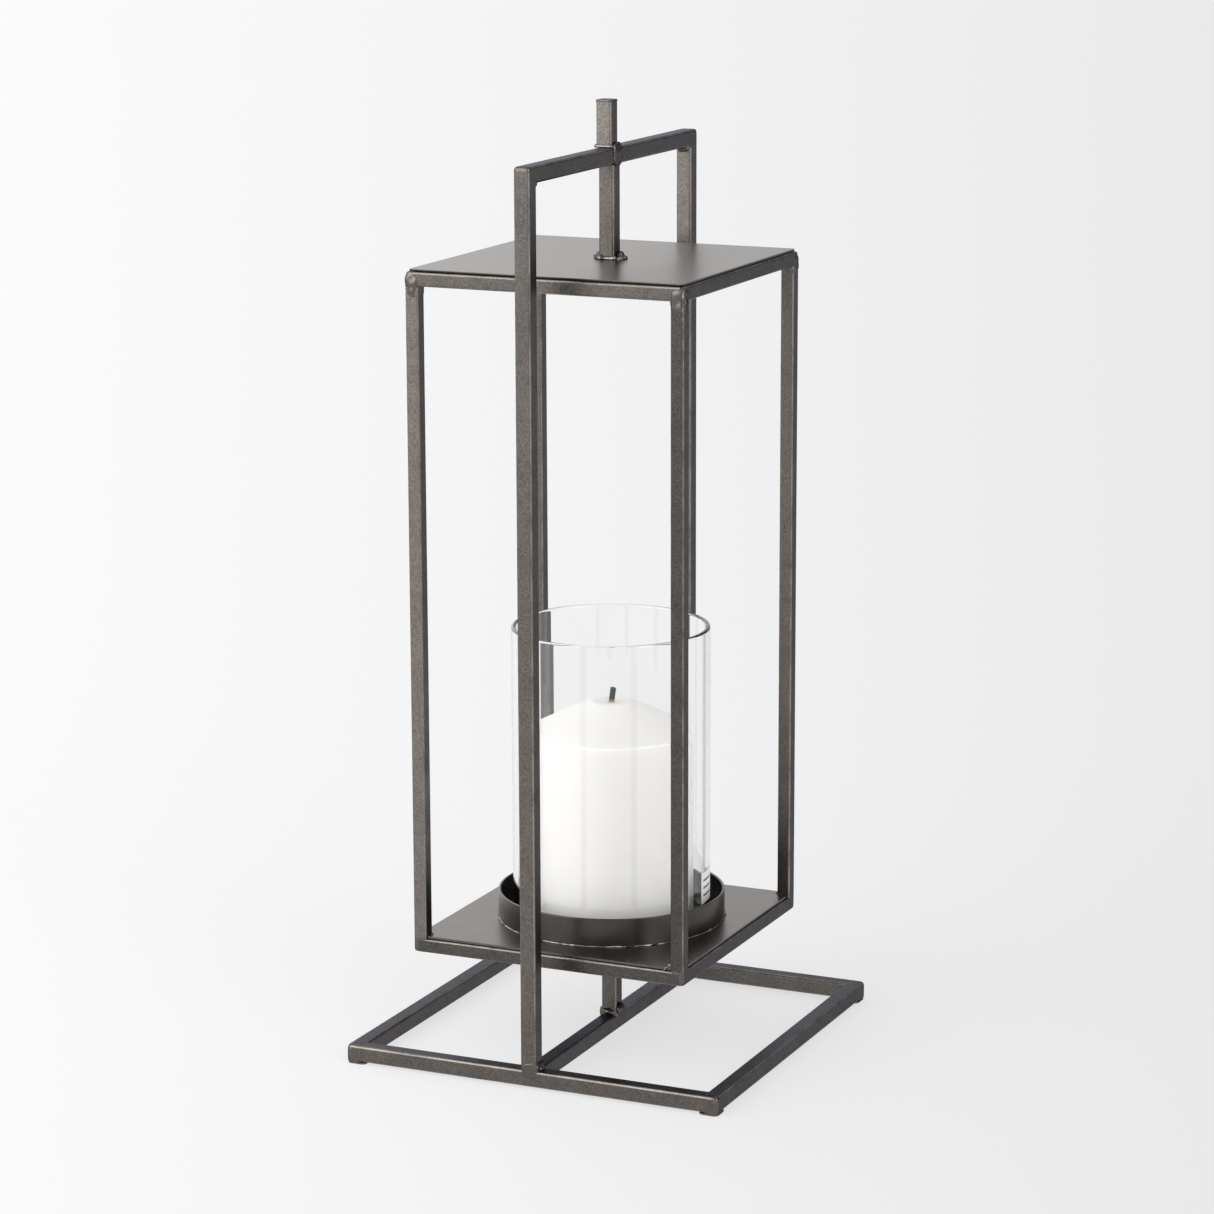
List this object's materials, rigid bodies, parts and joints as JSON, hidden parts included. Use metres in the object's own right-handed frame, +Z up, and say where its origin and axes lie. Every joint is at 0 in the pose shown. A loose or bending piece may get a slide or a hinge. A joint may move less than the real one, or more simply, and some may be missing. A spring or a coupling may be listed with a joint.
{
  "type": "candle lantern",
  "caption": "Open candle lantern: a square-tube cage on a square base, held between the uprights of a bar handle, with a glass sleeve and a pillar candle on its floor.",
  "frame": {"origin": "on the surface that the lantern stands on, under the middle of its square base", "axes": "+Z up; the handle bar and the base's centre bar run along Y, -Y is the front and +X the right-hand side"},
  "size_m": [0.188, 0.188, 0.444],
  "materials": {
    "bronze_tube": "satin dark bronze metallic paint with a fine speckle, brighter along the arrises",
    "bronze_sheet": "smooth satin dark bronze metallic paint",
    "foot_pad": "the same satin dark bronze as the tubes",
    "clear_glass": "clear, polished",
    "label_paper": "plain white, satin",
    "candle_wax": "white wax, satin, slightly translucent",
    "wick_cotton": "waxed braided cotton, dark at the tip"
  },
  "bodies": {
    "frame": {"base_front_tube": "bronze_tube", "base_right_tube": "bronze_tube", "base_back_tube": "bronze_tube", "base_left_tube": "bronze_tube", "base_centre_bar": "bronze_tube", "foot_pad_front_left": "foot_pad", "foot_pad_front_right": "foot_pad", "foot_pad_back_right": "foot_pad", "foot_pad_back_left": "foot_pad", "front_upright": "bronze_tube", "rear_upright": "bronze_tube", "handle_bar": "bronze_tube", "lower_centre_post": "bronze_tube", "upper_centre_post": "bronze_tube", "finial_stub": "bronze_tube", "finial_cap": "bronze_tube", "bottom_front_rail": "bronze_tube", "bottom_right_rail": "bronze_tube", "bottom_back_rail": "bronze_tube", "bottom_left_rail": "bronze_tube", "top_front_rail": "bronze_tube", "top_right_rail": "bronze_tube", "top_back_rail": "bronze_tube", "top_left_rail": "bronze_tube", "front_left_post": "bronze_tube", "front_right_post": "bronze_tube", "back_right_post": "bronze_tube", "back_left_post": "bronze_tube", "floor_plate": "bronze_sheet", "top_plate": "bronze_sheet", "candle_ring": "bronze_sheet"},
    "glass_sleeve": {"glass_cylinder": "clear_glass", "glass_label": "label_paper"},
    "pillar_candle": {"candle": "candle_wax", "wick": "wick_cotton"}
  },
  "joints": [
    {"name": "glass_lift", "type": "slide", "parent": "frame", "child": "glass_sleeve", "axis": [0, 0, 1], "range_m": [0, 0.17]},
    {"name": "candle_lift", "type": "slide", "parent": "frame", "child": "pillar_candle", "axis": [0, 0, 1], "range_m": [0, 0.1995]}
  ]
}
